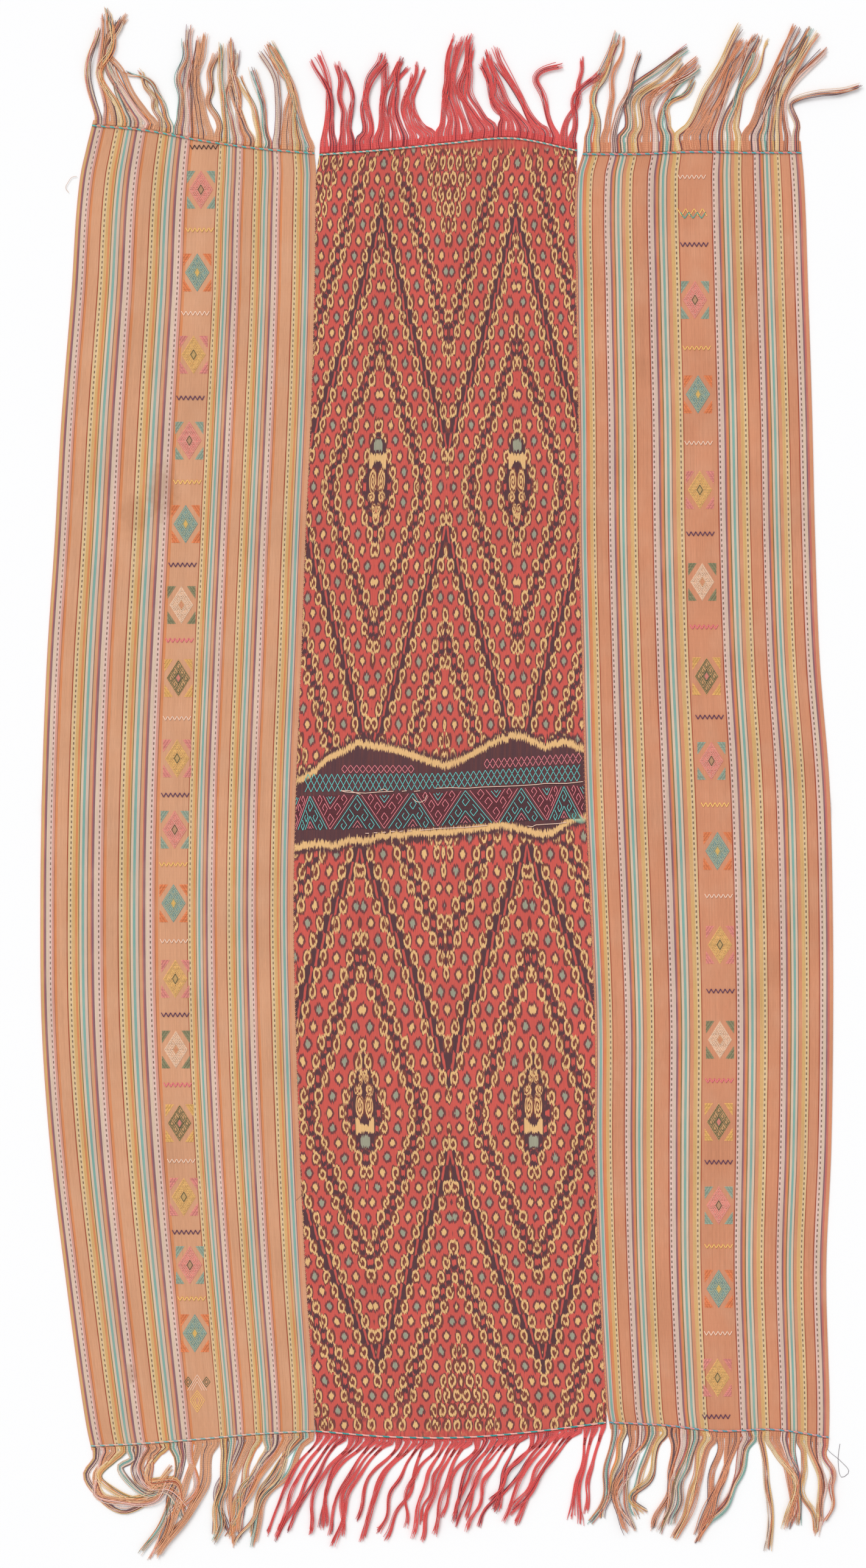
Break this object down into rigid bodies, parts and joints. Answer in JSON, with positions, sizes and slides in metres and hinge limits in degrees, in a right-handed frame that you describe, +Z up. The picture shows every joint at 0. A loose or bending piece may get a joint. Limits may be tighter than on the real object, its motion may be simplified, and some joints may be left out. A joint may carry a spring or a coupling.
{
  "type": "ikat woven cloth",
  "caption": "Flat fringed ikat cloth of three loom panels: a red and yellow hooked ikat centre between striped cotton sides with embroidered bands.",
  "frame": {"origin": "on the floor under the middle of the whole cloth's bounding box, fringe included", "axes": "+Y along the warp towards the end with the longer top fringe, +X across the three panels towards the orange side panel, +Z up from the floor through the cloth's face"},
  "size_m": [1.1442, 2.1578, 0.0035],
  "materials": {
    "cotton_peach_striped": "matt handspun cotton, warp stripes in peach, yellow, teal, cream and purple",
    "cotton_ikat": "matt handspun cotton, ikat in red, yellow, sage and dark brown",
    "cotton_orange_striped": "matt handspun cotton, warp stripes in orange, yellow, teal, cream and purple",
    "yarn_peach": "loose warp yarn in the left panel's colours",
    "yarn_red": "loose red warp yarn",
    "yarn_orange": "loose warp yarn in the right panel's colours"
  },
  "bodies": {
    "root": {"panel_left": "cotton_peach_striped", "panel_centre": "cotton_ikat", "panel_right": "cotton_orange_striped", "fringe_top_left": "yarn_peach", "fringe_bottom_left": "yarn_peach", "fringe_top_centre": "yarn_red", "fringe_bottom_centre": "yarn_red", "fringe_top_right": "yarn_orange", "fringe_bottom_right": "yarn_orange"}
  },
  "joints": []
}
